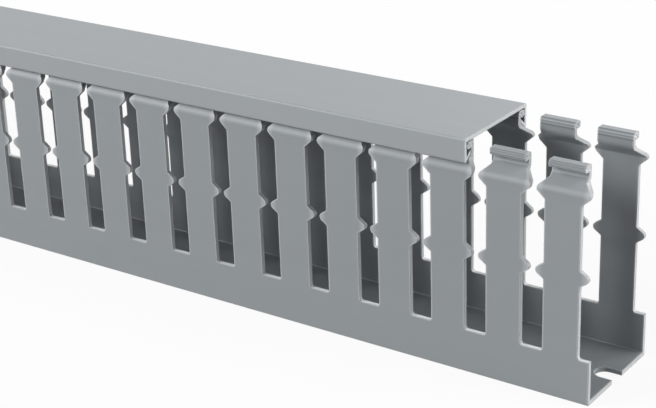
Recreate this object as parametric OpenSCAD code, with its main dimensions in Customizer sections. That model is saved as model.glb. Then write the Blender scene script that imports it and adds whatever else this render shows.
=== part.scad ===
// Slotted wire duct: an extruded channel with open-topped side slots, and its snap-on cover.
// X runs along the duct, Z is up, and the origin is the centre of the channel's underside.

/* [Channel] */
// Length of the channel as it is sold
duct_length = 1000; // [200:20:1200]
// Width over the two side walls
duct_width = 40; // [36:1:120]
// Height of the channel to the top of the finger heads
channel_height = 77.4; // [70:0.2:120]
// Thickness of the side walls and fingers
wall_thickness = 1.5; // [1.2:0.1:1.9]
// Thickness of the floor
floor_thickness = 1.6; // [1.2:0.1:3]
// Radius of the channel's long outer bottom edges
bottom_edge_radius = 0.6; // [0.3:0.1:1]

/* [Side slots] */
// Distance from one slot to the next
slot_pitch = 20; // [18:0.5:30]
// Width of a slot between two fingers
slot_width = 7.8; // [7:0.1:9]
// Height of a slot's bottom above the underside
slot_bottom_height = 15; // [8:0.5:25]
// Radius in the lower corners of a slot
slot_corner_radius = 0.9; // [0.4:0.1:2]

/* [Ears on the finger edges] */
// How far an ear stands out of the finger's edge
ear_reach = 2.8; // [2.4:0.1:3.2]
// Radius of an ear's tip
ear_tip_radius = 1.5; // [1.2:0.1:1.7]
// Radius in the corners between an ear and the finger's edge
ear_root_radius = 0.5; // [0.3:0.1:0.7]
// Lean of a lower ear's straight flanks away from upright
lower_ear_flank_angle = 55; // [45:1:60]
// Lean of an upper ear's straight flanks away from upright
upper_ear_flank_angle = 48; // [45:1:55]
// Height of the lower ears' middle
lower_ear_height = 42; // [36:0.2:46]
// Height of the upper ears' middle
upper_ear_height = 68.7; // [67:0.1:69.5]

/* [Finger shoulder and head] */
// How far the shoulder sets the neck in from the wall
neck_inset = 4.5; // [4:0.1:5.4]
// Height from the shoulder's start up to the head's underside
neck_rise = 6.9; // [6.5:0.1:9]
// Slope of the shoulder away from upright
shoulder_angle = 50; // [42:1:60]
// Radius along the middle of the shoulder's two bends
shoulder_radius = 2; // [1.2:0.1:2.2]
// Height of the rolled head
head_height = 2.4; // [2:0.1:3]
// How far the head overhangs the neck outward
head_overhang = 2.4; // [1.8:0.1:2.6]
// Radius of the head's rounded corners
head_radius = 0.9; // [0.4:0.1:0.95]

/* [Mounting slots in the floor] */
// Distance from one mounting slot to the next
mount_pitch = 50; // [40:5:200]
// Width of a mounting slot
mount_slot_width = 7; // [5:0.1:9]
// Length of a mounting slot along the duct
mount_slot_length = 15; // [10:0.5:25]

/* [Cover] */
// Length of the cover
cover_length = 1000; // [200:20:1200]
// How far the cover is slid back from the channel's open end
cover_slid_back = 44; // [0:1:200]
// Thickness of the cover's top
cover_thickness = 1.3; // [1:0.1:2]
// Thickness of the cover's legs
leg_thickness = 1.2; // [1:0.1:1.6]
// Radius of the cover's long upper edges
cover_edge_radius = 0.7; // [0.3:0.1:1]

/* [Clearances] */
// Gap between the head's outer side and the leg
head_side_gap = 0.25; // [0.2:0.05:0.5]
// Gap between the head's top and the cover
head_top_gap = 0.3; // [0.2:0.05:0.5]
// Gap between the shoulder and the hook that lies over it
hook_shoulder_gap = 0.3; // [0.25:0.05:0.5]
// Gap between the neck and the hook's tip
hook_neck_gap = 0.3; // [0.25:0.05:0.6]
// Gap between the hook's tip and the head's underside
hook_head_gap = 0.5; // [0.3:0.05:1]

/* [Hidden] */
$fn = 48;

// Cuts run past the faces that they open by this much
past = 1;
// Number of flats round the foot of a leg
foot_flats = 6;
// Arcs bite this far past the faces that they run into, so that they end in a clean corner
bite = 0.02;
// A slot goes on above the heads, so that the fingers stand free
slot_top = channel_height + past;

// Places across the duct, measured from its middle plane to the outer side
wall_outer = duct_width / 2;
wall_middle = wall_outer - wall_thickness / 2;
neck_middle = wall_middle - neck_inset;
neck_outer = neck_middle + wall_thickness / 2;
neck_inner = neck_middle - wall_thickness / 2;
head_outer = neck_outer + head_overhang;
leg_inner = head_outer + head_side_gap;
cover_half_width = leg_inner + leg_thickness;

// Heights above the underside
head_bottom = channel_height - head_height;
shoulder_start = head_bottom - neck_rise;
bend_drop = 1 - cos(shoulder_angle);
slope_length = (neck_inset - 2 * shoulder_radius * bend_drop) / sin(shoulder_angle);
shoulder_rise = 2 * shoulder_radius * sin(shoulder_angle) + slope_length * cos(shoulder_angle);
neck_start = shoulder_start + shoulder_rise;
bend_inner = shoulder_radius - wall_thickness / 2;
bend_outer = shoulder_radius + wall_thickness / 2;
cover_underside = channel_height + head_top_gap;
hook_tip_top = head_bottom - hook_head_gap;

// The bends and the straight parts of the shoulder lap over each other, halfway between
// the places where the inner and the outer faces of a bend cross the straight faces
function crossing(r) = sqrt(bite * (2 * r + bite));
shoulder_lap = (crossing(bend_inner) + crossing(bend_outer)) / 2;
lap_angle = atan(shoulder_lap / shoulder_radius);

// Number of slot and mounting slot pitches on the length
slot_count = floor(duct_length / slot_pitch);
mount_count = floor(duct_length / mount_pitch);

// A square with all four corners rounded by true arcs
module rounded_square(size, r) {
    translate([r, 0]) square([size[0] - 2 * r, size[1]]);
    translate([0, r]) square([size[0], size[1] - 2 * r]);
    for (x = [r, size[0] - r], y = [r, size[1] - r]) translate([x, y]) circle(r);
}

// A bend of the shoulder: the part of a ring between two angles, and a lap at each end
module bend(start_angle) {
    reach = 2 * bend_outer;
    angles = [start_angle - lap_angle, start_angle + shoulder_angle / 2, start_angle + shoulder_angle + lap_angle];
    intersection() {
        difference() {
            circle(bend_outer + bite);
            circle(bend_inner + bite);
        }
        polygon(concat([[0, 0]], [for (a = angles) reach * [cos(a), sin(a)]]));
    }
}

// Shoulder in section: it leans in from the wall, then turns upright into the neck
module shoulder_section() {
    lower_centre = [wall_middle - shoulder_radius, shoulder_start];
    upper_centre = [neck_middle + shoulder_radius, neck_start];
    translate(lower_centre) bend(0);
    translate(upper_centre) bend(180);
    translate(lower_centre) rotate(shoulder_angle)
        translate([bend_inner, -shoulder_lap]) square([wall_thickness, slope_length + 2 * shoulder_lap]);
}

// One side wall in section, up to the finger head that overhangs outward
module wall_section() {
    translate([wall_outer - wall_thickness, floor_thickness])
        square([wall_thickness, shoulder_start + shoulder_lap - floor_thickness]);
    shoulder_section();
    translate([neck_inner, neck_start - shoulder_lap])
        square([wall_thickness, head_bottom + head_height / 2 - neck_start + shoulder_lap]);
    translate([neck_inner, head_bottom]) rounded_square([head_outer - neck_inner, head_height], head_radius);
}

// Floor in section, with the long outer edges rounded
module floor_section() {
    translate([-wall_outer, 0]) difference() {
        square([duct_width, floor_thickness]);
        for (side = [0, 1]) translate([side * duct_width, 0]) mirror([side, 0]) difference() {
            square(bottom_edge_radius);
            translate([bottom_edge_radius, bottom_edge_radius]) circle(bottom_edge_radius);
        }
    }
}

// The whole section of the channel, across (x) and up (y)
module channel_section() {
    floor_section();
    wall_section();
    mirror([1, 0]) wall_section();
}

// Bump that an ear leaves in the slot's left edge: a round tip, two straight flanks and two small root hollows
module ear_outline(flank_angle) {
    outward = [cos(flank_angle), sin(flank_angle)];
    tip_centre = [ear_reach - ear_tip_radius, 0];
    tip_end = tip_centre + (ear_tip_radius - bite) * outward;
    root_x = ear_root_radius - bite;
    root_height = (tip_end * outward + (1 - outward[0]) * root_x) / outward[1];
    root_end = [root_x, root_height] - root_x * outward;
    difference() {
        union() {
            translate(tip_centre) circle(ear_tip_radius);
            for (side = [0, 1]) mirror([0, side])
                polygon([[0, 0], tip_centre, tip_end, root_end, [0, root_height]]);
        }
        for (side = [-1, 1]) translate([root_x, side * root_height]) circle(ear_root_radius);
    }
}

// Outline of one slot, along (x) and up (y), with the four ears left standing in it
module slot_outline() {
    difference() {
        translate([-slot_width / 2, slot_bottom_height]) {
            translate([0, slot_corner_radius])
                square([slot_width, slot_top - slot_bottom_height - slot_corner_radius]);
            translate([slot_corner_radius, 0])
                square([slot_width - 2 * slot_corner_radius, slot_corner_radius]);
            for (x = [slot_corner_radius, slot_width - slot_corner_radius])
                translate([x, slot_corner_radius]) circle(slot_corner_radius);
        }
        for (side = [0, 1]) mirror([side, 0]) translate([-slot_width / 2, 0]) {
            translate([0, lower_ear_height]) ear_outline(lower_ear_flank_angle);
            translate([0, upper_ear_height]) ear_outline(upper_ear_flank_angle);
        }
    }
}

// One slot through both walls
module side_slot() {
    translate([0, wall_outer + past, 0]) rotate([90, 0, 0])
        linear_extrude(duct_width + 2 * past) slot_outline();
}

// One mounting slot with round ends through the floor
module mounting_slot() {
    translate([0, 0, -past]) linear_extrude(floor_thickness + 2 * past) {
        straight = mount_slot_length - mount_slot_width;
        square([straight, mount_slot_width], center = true);
        for (side = [-1, 1]) translate([side * straight / 2, 0]) circle(d = mount_slot_width);
    }
}

// Channel: floor and two walls of fingers in one piece, cut to length through the slots
module channel() {
    color("darkgray") difference() {
        translate([-duct_length / 2, 0, 0]) rotate([90, 0, 90]) linear_extrude(duct_length) channel_section();
        for (k = [0 : slot_count]) translate([duct_length / 2 - k * slot_pitch, 0, 0]) side_slot();
        for (k = [0 : mount_count]) translate([duct_length / 2 - k * mount_pitch, 0, 0]) mounting_slot();
    }
}

// Height of the hook's lower side at a place across the duct: a line above the shoulder's slope
function hook_bottom(y) =
    shoulder_start + (wall_thickness / 2 + shoulder_radius + hook_shoulder_gap) / sin(shoulder_angle)
    + (wall_middle - shoulder_radius - y) / tan(shoulder_angle);

// One leg of the cover in section, with the hook that turns in and up beneath the head
module leg_section() {
    foot_radius = leg_thickness / 2;
    foot_y = leg_inner + foot_radius;
    foot_centre = [foot_y, hook_bottom(foot_y) + foot_radius / sin(shoulder_angle)];
    foot_turn = 180 - shoulder_angle;
    tip_inner = neck_outer + hook_neck_gap;
    leg_top = cover_underside + (cover_thickness - cover_edge_radius) / 2;
    translate([leg_inner, foot_centre[1]]) square([leg_thickness, leg_top - foot_centre[1]]);
    polygon(concat(
        [
            [leg_inner, hook_tip_top - (leg_inner - tip_inner) / tan(shoulder_angle)],
            [tip_inner, hook_tip_top],
            [tip_inner, hook_bottom(tip_inner)]
        ],
        [for (i = [0 : foot_flats]) let (a = foot_turn * (i / foot_flats - 1))
            foot_centre + foot_radius * [cos(a), sin(a)]]
    ));
}

// Section of the cover: a flat top with rounded long edges and two hooked legs
module cover_section() {
    translate([-cover_half_width, cover_underside]) difference() {
        square([2 * cover_half_width, cover_thickness]);
        for (side = [0, 1]) translate([side * 2 * cover_half_width, 0]) mirror([side, 0])
            translate([0, cover_thickness - cover_edge_radius]) difference() {
                square(cover_edge_radius);
                translate([cover_edge_radius, 0]) circle(cover_edge_radius);
            }
    }
    leg_section();
    mirror([1, 0]) leg_section();
}

// Cover, slid back so that the end fingers stand clear
module cover() {
    color("silver") translate([duct_length / 2 - cover_slid_back - cover_length, 0, 0])
        rotate([90, 0, 90]) linear_extrude(cover_length) cover_section();
}

channel();
cover();
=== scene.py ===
# Looks for the slotted wire duct: grey extruded plastic, its punched edges, a pale floor and soft light.
import math

import bmesh
import bpy
from mathutils import Matrix, Vector


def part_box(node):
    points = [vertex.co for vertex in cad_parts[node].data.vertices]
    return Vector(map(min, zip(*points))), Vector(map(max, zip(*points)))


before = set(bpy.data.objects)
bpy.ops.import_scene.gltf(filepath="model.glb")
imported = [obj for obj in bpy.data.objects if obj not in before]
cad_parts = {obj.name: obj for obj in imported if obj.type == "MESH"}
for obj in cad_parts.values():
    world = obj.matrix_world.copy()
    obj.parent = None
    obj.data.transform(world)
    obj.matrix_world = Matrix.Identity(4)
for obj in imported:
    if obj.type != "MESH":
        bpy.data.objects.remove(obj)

bl_info = {
    "name": "Slotted wire duct",
    "version": (1, 0, 0),
    "blender": (4, 5, 0),
    "location": "View3D > Sidebar > Wire duct",
    "description": "Finishes the channel and the cover of a slotted wire duct, and lights them",
    "category": "Object",
}

MM = 0.001
WHITE = (1.0, 1.0, 1.0, 1.0)
WHITE_RAYS = ("Is Camera Ray", "Is Glossy Ray", "Is Transmission Ray")
CHANNEL_LOW, CHANNEL_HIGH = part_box("channel")
COVER_LOW, COVER_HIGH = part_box("cover")
# The view looks at the duct's open end, where the cover is slid back
OPEN_END = CHANNEL_HIGH.x
# The fingers repeat along both walls, and their heads start just under the top
PITCH = 20.0 * MM
FINGER_MIDDLE = OPEN_END - PITCH / 2
HEAD_START = CHANNEL_HIGH.z - 2.6 * MM
# The heights between which the slots end, and how far the ears start from a finger's middle
SLOT_FLOOR = (10.0 * MM, 20.0 * MM)
EAR_REACH = (6.2 * MM, 8.2 * MM)
# The heights over which the marks fade in
EAR_FADE = 2.0 * MM
HEAD_FADE = 0.4 * MM
# How far up the normal points in a slot's floor, and how far along the duct in a cut face
UPWARD = (0.5, 0.8)
LENGTHWISE = (0.35, 0.6)
# Cut faces this close to the ends were sawn, not punched
SAWN_DEPTH = (6.0 * MM, 5.0 * MM)
# How often each pattern repeats in a metre along, across and up the duct
CLOUDS = (16.0, 30.0, 30.0)
DIE_LINES = (1.5, 900.0, 900.0)
WIDE_LINES = (0.8, 160.0, 160.0)
STREAKS = (4.0, 1900.0, 1900.0)
GRAIN = (2600.0, 2600.0, 2600.0)
CHATTER = (500.0, 60.0, 900.0)
# The part of the streaking noise that turns into sharp lines: die grooves in the bump and painted glints in
# the colour
STREAK_SIDES = (0.40, 0.60)
# How much an edge turns the rounded normal off the flat one, where the edge is painted pale: partly worn
# plastic and partly a painted highlight along the rim
EDGE_TURN = (0.01, 0.10)
BEVEL = {"samples": 8}
BUMP_HEIGHT = 0.06 * MM
# Half the floor's side, in metres
FLOOR_HALF = 6.0
# Each lamp's place from the open end, and its width and height, in metres
LAMPS = {
    "left": ((-5.0, -1.9, 3.2), (1.8, 1.8)),
    "front": ((-3.0, -3.45, 2.1), (2.1, 1.5)),
    "low": ((-0.45, -3.9, 0.5), (1.5, 0.6)),
    "high": ((2.4, 0.9, 2.7), (1.8, 1.8)),
    "back": ((2.5, 4.0, 1.0), (1.5, 1.0)),
    "sheen": ((-0.8, 4.1, 1.5), (1.8, 1.2)),
}
LAMPS_AIM = Vector((OPEN_END - 0.1, 0.0, 0.04))


class Expr:
    """The output of a shader node, for use in plain arithmetic."""

    def __init__(self, shader, socket):
        self.shader = shader
        self.socket = socket
        self.math = shader.math

    def __add__(self, other):
        return self.math("ADD", self, other)

    def __radd__(self, other):
        return self.math("ADD", other, self)

    def __sub__(self, other):
        return self.math("SUBTRACT", self, other)

    def __rsub__(self, other):
        return self.math("SUBTRACT", other, self)

    def __mul__(self, other):
        return self.math("MULTIPLY", self, other)

    def __rmul__(self, other):
        return self.math("MULTIPLY", other, self)

    def __abs__(self):
        return self.math("ABSOLUTE", self)


class Shader:
    """A node tree that is built one node at a time."""

    def __init__(self, tree):
        self.tree = tree
        tree.nodes.clear()

    def node(self, kind, settings=None, sockets=None, output=0):
        """Adds a node, sets it, fills its sockets with values or links, and returns one of its outputs."""
        made = self.tree.nodes.new(kind)
        for key, value in (settings or {}).items():
            setattr(made, key, value)
        for key, value in (sockets or {}).items():
            if isinstance(value, Expr):
                self.tree.links.new(value.socket, made.inputs[key])
            else:
                made.inputs[key].default_value = value
        return Expr(self, made.outputs[output]) if made.outputs else made

    def math(self, operation, *values):
        return self.node("ShaderNodeMath", {"operation": operation}, dict(enumerate(values)))

    def noise(self, place, stretch, detail=2.0):
        """Soft random values round 0.5, over a place that is first multiplied by three stretches."""
        spot = self.node("ShaderNodeMapping", None, {"Vector": place, "Scale": stretch})
        return self.node("ShaderNodeTexNoise", None, {"Vector": spot, "Scale": 1.0, "Detail": detail})

    def step(self, value, start, end):
        """0 below start and 1 above end, smooth between them."""
        return self.node("ShaderNodeMapRange", {"interpolation_type": "SMOOTHSTEP"}, {
            "Value": value, "From Min": start, "From Max": end})

    def between(self, value, start, end):
        """1 from start to end and 0 outside, with soft sides a twentieth as wide."""
        soft = (end - start) / 20
        return self.step(value, start - soft, start) * (1.0 - self.step(value, end, end + soft))

    def blend(self, factor, low, high):
        """A colour between two others, through the Mix node's colour sockets."""
        return self.node("ShaderNodeMix", {"data_type": "RGBA"}, {0: factor, 6: low, 7: high}, output=2)

    def seen_white(self):
        """1 for the rays that see the studio as a white background, and 0 for those that light the duct."""
        return sum(self.node("ShaderNodeLightPath", output=ray) for ray in WHITE_RAYS)

    def parts(self, vector):
        """The three parts of a vector."""
        return [self.node("ShaderNodeSeparateXYZ", None, {0: vector}, output=i) for i in range(3)]


def material(name):
    """A new material and the shader that fills it."""
    made = bpy.data.materials.new(name)
    made.use_nodes = True
    return made, Shader(made.node_tree)


def rgba(colour):
    """A colour property as a socket wants it."""
    return (*colour, 1.0)


def marks_and_highlights(s, look, place, up):
    """How strongly the channel's slot floors, ears and heads are marked at each place, with 0 elsewhere;
    the slot floors' mark is a painted highlight, and the heads' mark is partly painted glints.
    """
    x, _, z = s.parts(place)
    # Painted highlight: slot floors face up and are painted pale for the light that falls on them, beyond
    # the paler colour of a cut face.
    slot_floor = s.step(up, *UPWARD) * s.between(z, *SLOT_FLOOR)
    from_middle = s.math("PINGPONG", x - FINGER_MIDDLE, PITCH / 2)
    ear = s.step(from_middle, *EAR_REACH) * s.step(z, SLOT_FLOOR[1], SLOT_FLOOR[1] + EAR_FADE)
    # The heads' mark drives streaking that is partly painted glints.
    head = s.step(z, HEAD_START, HEAD_START + HEAD_FADE)
    return slot_floor, ear * look.ear_whitening, head * look.head_streaks_and_glints


def extruded_plastic(name, look, box, punched):
    """Grey plastic with die lines along the duct and a fine grain, paler on cut faces; edges painted pale
    as wear and as a painted highlight, saw-cut ends paler partly as a painted highlight, slot floors
    painted pale as a painted highlight, and head streaking that is partly painted glints.
    """
    made, s = material(name)
    low, high = box
    middle, half = (low.x + high.x) / 2, (high.x - low.x) / 2
    place = s.node("ShaderNodeTexCoord", output="Object")
    lengthwise, _, up = s.parts(s.node("ShaderNodeTexCoord", output="Normal"))
    slot_floor, ear, head = marks_and_highlights(s, look, place, up) if punched else (0.0, 0.0, 0.0)
    cut = s.math("MAXIMUM", s.step(abs(lengthwise), *LENGTHWISE), slot_floor)
    from_centre = abs(s.parts(place)[0] - middle)
    # Painted highlight: the saw-cut ends are paler as freshly cut plastic and are painted paler still to
    # stand in for the light on them.
    sawn_and_highlit = cut * s.step(from_centre, half - SAWN_DEPTH[0], half - SAWN_DEPTH[1])
    clouds = s.noise(place, CLOUDS, 3.0)
    lines = s.noise(place, DIE_LINES)
    wide_lines = s.noise(place, WIDE_LINES, 1.0)
    streaks_and_glints = s.step(s.noise(place, STREAKS, 1.0), *STREAK_SIDES)
    grain = s.noise(place, GRAIN)
    chatter = s.noise(place, CHATTER)
    rounded = s.node("ShaderNodeBevel", BEVEL, {"Radius": look.edge_radius})
    # This wide bevel finds the rims that are painted pale, partly as worn plastic and partly as a painted
    # highlight.
    rubbed_and_highlit = s.node("ShaderNodeBevel", BEVEL, {"Radius": look.rim_width})
    flat = s.node("ShaderNodeNewGeometry", output="Normal")
    alike = s.node(
        "ShaderNodeVectorMath", {"operation": "DOT_PRODUCT"}, {0: rubbed_and_highlit, 1: flat}, output="Value")
    edge = s.step(1.0 - alike, *EDGE_TURN)
    # The heads' streaking lightens and darkens the colour: painted glints along the head, besides the die
    # grooves that the bump draws.
    shade = (1.0 + (clouds - 0.5) * look.cloudiness + (wide_lines - 0.5) * look.line_shade
             + (streaks_and_glints - 0.5) * head)
    colour = s.blend(cut, rgba(look.body), rgba(look.cut))
    # Saw-cut ends and slot floors take the pale end colour: a painted highlight on the slot floors, and
    # partly one on the saw-cut ends.
    colour = s.blend(s.math("MAXIMUM", sawn_and_highlit, slot_floor), colour, rgba(look.sawn_and_highlit))
    colour = s.blend(ear, colour, rgba(look.edge))
    # Painted highlight: the rims are painted pale, partly as worn plastic and partly as the light that
    # rounded edges catch.
    colour = s.blend(edge * look.edge_wear_and_highlight, colour, rgba(look.edge))
    colour = s.node("ShaderNodeHueSaturation", None, {"Value": shade, "Color": colour})
    rough = look.roughness + (lines - 0.5) * 0.12 + cut * 0.14 + (clouds - 0.5) * 0.06
    height = lines * (1.0 - cut) * 0.6 + grain * 0.35 + chatter * cut * 1.2 + streaks_and_glints * head * 2.0
    bump = s.node("ShaderNodeBump", None, {
        "Strength": look.relief, "Distance": BUMP_HEIGHT, "Height": height, "Normal": rounded})
    surface = s.node("ShaderNodeBsdfPrincipled", None, {
        "Base Color": colour, "Roughness": rough, "Normal": bump})
    s.node("ShaderNodeOutputMaterial", None, {"Surface": surface})
    return made


class PlasticLook:
    """Colours and finish that the channel and the cover share."""

    cut: bpy.props.FloatVectorProperty(
        name="Cut faces", description="Colour where the punch or saw went through", subtype="COLOR",
        default=(0.52, 0.54, 0.55), min=0, max=1)
    # Painted highlight: this pale colour stands partly for freshly cut plastic and partly for light on the
    # saw-cut ends, and wholly for light on the slot floors.
    sawn_and_highlit: bpy.props.FloatVectorProperty(
        name="Sawn ends", description="Colour where the stock was sawn to length", subtype="COLOR",
        default=(0.80, 0.82, 0.83), min=0, max=1)
    # The pale edge colour is partly worn plastic and partly a painted highlight; it also whitens the ears.
    edge: bpy.props.FloatVectorProperty(
        name="Edges", description="Colour of the rubbed edges", subtype="COLOR",
        default=(0.54, 0.56, 0.57), min=0, max=1)
    roughness: bpy.props.FloatProperty(
        name="Roughness", description="How dull the extruded faces are", default=0.52, min=0, max=1)
    relief: bpy.props.FloatProperty(
        name="Relief", description="Strength of the die lines and the grain", default=0.35, min=0, max=1)
    cloudiness: bpy.props.FloatProperty(
        name="Cloudiness", description="How much the colour drifts over the length",
        default=0.05, min=0, max=1)
    line_shade: bpy.props.FloatProperty(
        name="Line shade", description="How much the die lines change the colour",
        default=0.05, min=0, max=1)
    # The rims within this width are painted pale, partly as wear and partly as a painted highlight.
    rim_width: bpy.props.FloatProperty(
        name="Rim width", description="How far in from the edges the plastic is rubbed pale",
        unit="LENGTH", default=1.0 * MM, min=0, max=3.0 * MM)
    edge_radius: bpy.props.FloatProperty(
        name="Edge radius", description="Radius that the light sees along the edges",
        unit="LENGTH", default=0.2 * MM, min=0, max=2.0 * MM)


class ChannelLook(PlasticLook, bpy.types.PropertyGroup):
    """Colours and finish of the channel."""

    body: bpy.props.FloatVectorProperty(
        name="Body", description="Colour of the extruded faces", subtype="COLOR",
        default=(0.275, 0.297, 0.313), min=0, max=1)
    # Painted highlight: the channel's pale edges are partly worn plastic and partly the light that the rims
    # catch.
    edge_wear_and_highlight: bpy.props.FloatProperty(
        name="Edge wear", description="How pale the rubbed edges are", default=0.8, min=0, max=1)
    # The head streaking in the colour is partly painted glints.
    head_streaks_and_glints: bpy.props.FloatProperty(
        name="Head streaks", description="How strongly the finger heads are streaked",
        default=0.6, min=0, max=2)
    ear_whitening: bpy.props.FloatProperty(
        name="Ear whitening", description="How pale the punch left the ears", default=0.45, min=0, max=1)


class CoverLook(PlasticLook, bpy.types.PropertyGroup):
    """Colours and finish of the cover."""

    # Painted light: the cover's body is paler than the channel's, partly as its own colour and partly to
    # stand in for the light on the cover.
    body: bpy.props.FloatVectorProperty(
        name="Body", description="Colour of the extruded faces", subtype="COLOR",
        default=(0.330, 0.353, 0.370), min=0, max=1)
    # Painted highlight: the cover's pale edges are partly worn plastic and partly the light along its long
    # edge.
    edge_wear_and_highlight: bpy.props.FloatProperty(
        name="Edge wear", description="How pale the rubbed edges are", default=0.3, min=0, max=1)


class StudioLook(bpy.types.PropertyGroup):
    """The floor, the lights and the camera."""

    floor_colour: bpy.props.FloatVectorProperty(
        name="Floor", description="Colour that the floor throws back at the duct", subtype="COLOR",
        default=(0.4, 0.4, 0.4), min=0, max=1)
    floor_glow: bpy.props.FloatProperty(
        name="Floor glow", description="Share of plain white that the camera sees in the floor",
        default=0.89, min=0, max=1)
    sky: bpy.props.FloatProperty(
        name="Sky", description="Strength of the even light from all round", default=0.0, min=0, max=5)
    left_power: bpy.props.FloatProperty(
        name="Left light", description="Power of the high light far to the left",
        unit="POWER", default=150.0, min=0, max=5000)
    front_power: bpy.props.FloatProperty(
        name="Front light", description="Power of the light in front of the near side",
        unit="POWER", default=146.0, min=0, max=5000)
    low_power: bpy.props.FloatProperty(
        name="Low light", description="Power of the small low light in front of the near side",
        unit="POWER", default=25.0, min=0, max=5000)
    high_power: bpy.props.FloatProperty(
        name="High light", description="Power of the light high above the open end",
        unit="POWER", default=62.0, min=0, max=5000)
    back_power: bpy.props.FloatProperty(
        name="Back light", description="Power of the light behind the open end",
        unit="POWER", default=120.0, min=0, max=5000)
    sheen_power: bpy.props.FloatProperty(
        name="Sheen light", description="Power of the light behind that gives the cover its sheen",
        unit="POWER", default=45.0, min=0, max=5000)
    azimuth: bpy.props.FloatProperty(
        name="Azimuth", description="Turn of the view about the upright axis", subtype="ANGLE",
        default=math.radians(35.7695))
    elevation: bpy.props.FloatProperty(
        name="Elevation", description="How far the view looks down", subtype="ANGLE",
        default=math.radians(22.5268))
    roll: bpy.props.FloatProperty(
        name="Roll", description="Tilt of the camera about its own axis", subtype="ANGLE",
        default=math.radians(-2.0159))
    place: bpy.props.FloatVectorProperty(
        name="Place", description="Where the camera stands, from the middle of the open end's lower edge",
        subtype="TRANSLATION", unit="LENGTH", default=(0.20308, -0.43420, 0.25889))
    lens: bpy.props.FloatProperty(
        name="Lens", description="Focal length in millimetres", default=92.984, min=10, max=300)


class DUCT_OT_channel(bpy.types.Operator):
    """Give the channel its extruded and punched plastic"""

    bl_idname = "duct.channel"
    bl_label = "Channel"

    def execute(self, context):
        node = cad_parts["channel"]
        node.material_slots[0].material = extruded_plastic(
            "channel_plastic", context.scene.duct_channel, (CHANNEL_LOW, CHANNEL_HIGH), punched=True)
        return {"FINISHED"}


class DUCT_OT_cover(bpy.types.Operator):
    """Give the cover its extruded plastic"""

    bl_idname = "duct.cover"
    bl_label = "Cover"

    def execute(self, context):
        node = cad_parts["cover"]
        node.material_slots[0].material = extruded_plastic(
            "cover_plastic", context.scene.duct_cover, (COVER_LOW, COVER_HIGH), punched=False)
        return {"FINISHED"}


def soft_box(name, place, size, power):
    """A soft lamp that faces the open end."""
    lamp = bpy.data.lights.new(name, "AREA")
    lamp.shape = "RECTANGLE"
    lamp.size, lamp.size_y = size
    lamp.energy = power
    thing = bpy.data.objects.new(name, lamp)
    thing.location = Vector((OPEN_END, 0.0, 0.0)) + Vector(place)
    thing.rotation_euler = (LAMPS_AIM - thing.location).to_track_quat("-Z", "Y").to_euler()
    bpy.context.scene.collection.objects.link(thing)


class DUCT_OT_stage(bpy.types.Operator):
    """Lay the floor, hang the lights and set up the camera"""

    bl_idname = "duct.stage"
    bl_label = "Stage"

    def execute(self, context):
        look = context.scene.duct_studio
        self.lay_floor(context, look)
        self.light(context, look)
        self.aim_camera(context, look)
        context.scene.view_settings.view_transform = "Standard"
        return {"FINISHED"}

    def lay_floor(self, context, look):
        mesh = bpy.data.meshes.new("floor")
        shape = bmesh.new()
        bmesh.ops.create_grid(shape, x_segments=1, y_segments=1, size=FLOOR_HALF)
        bmesh.ops.translate(shape, verts=shape.verts, vec=(0.0, 0.0, CHANNEL_LOW.z))
        shape.to_mesh(mesh)
        shape.free()
        paint, s = material("studio_floor")
        seen = s.seen_white()
        colour = s.blend(seen, rgba(look.floor_colour), WHITE)
        lit = s.node("ShaderNodeBsdfDiffuse", None, {"Color": colour})
        glow = s.node("ShaderNodeEmission", None, {"Color": WHITE, "Strength": 1.0})
        surface = s.node("ShaderNodeMixShader", None, {0: seen * look.floor_glow, 1: lit, 2: glow})
        s.node("ShaderNodeOutputMaterial", None, {"Surface": surface})
        mesh.materials.append(paint)
        floor = bpy.data.objects.new("floor", mesh)
        context.scene.collection.objects.link(floor)

    def light(self, context, look):
        world = bpy.data.worlds.new("studio")
        world.use_nodes = True
        context.scene.world = world
        s = Shader(world.node_tree)
        level = s.seen_white() * (1.0 - look.sky) + look.sky
        sky = s.node("ShaderNodeBackground", None, {"Color": WHITE, "Strength": level})
        s.node("ShaderNodeOutputWorld", None, {"Surface": sky})
        for name, (place, size) in LAMPS.items():
            soft_box(name + "_light", place, size, getattr(look, name + "_power"))

    def aim_camera(self, context, look):
        turn = (Matrix.Rotation(look.azimuth, 4, "Z")
                @ Matrix.Rotation(math.pi / 2 - look.elevation, 4, "X")
                @ Matrix.Rotation(look.roll, 4, "Z"))
        data = bpy.data.cameras.new("camera")
        data.sensor_width = 36.0
        data.lens = look.lens
        data.clip_start = 0.01
        camera = bpy.data.objects.new("camera", data)
        place = Vector((OPEN_END, 0.0, CHANNEL_LOW.z)) + Vector(look.place)
        camera.matrix_world = Matrix.Translation(place) @ turn
        context.scene.collection.objects.link(camera)
        context.scene.camera = camera


class DUCT_PT_panel(bpy.types.Panel):
    """Wire duct tools"""

    bl_label = "Wire duct"
    bl_idname = "DUCT_PT_panel"
    bl_space_type = "VIEW_3D"
    bl_region_type = "UI"
    bl_category = "Wire duct"

    def draw(self, context):
        for step in STEPS:
            self.layout.operator(step.bl_idname)


STEPS = (DUCT_OT_stage, DUCT_OT_channel, DUCT_OT_cover)
CLASSES = (ChannelLook, CoverLook, StudioLook, *STEPS, DUCT_PT_panel)


def register():
    for cls in CLASSES:
        bpy.utils.register_class(cls)
    bpy.types.Scene.duct_channel = bpy.props.PointerProperty(type=ChannelLook)
    bpy.types.Scene.duct_cover = bpy.props.PointerProperty(type=CoverLook)
    bpy.types.Scene.duct_studio = bpy.props.PointerProperty(type=StudioLook)


def unregister():
    del bpy.types.Scene.duct_studio
    del bpy.types.Scene.duct_cover
    del bpy.types.Scene.duct_channel
    for cls in reversed(CLASSES):
        bpy.utils.unregister_class(cls)


def main():
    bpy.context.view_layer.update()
    register()
    bpy.ops.duct.stage()
    bpy.ops.duct.channel()
    bpy.ops.duct.cover()


if __name__ == "__main__":
    main()
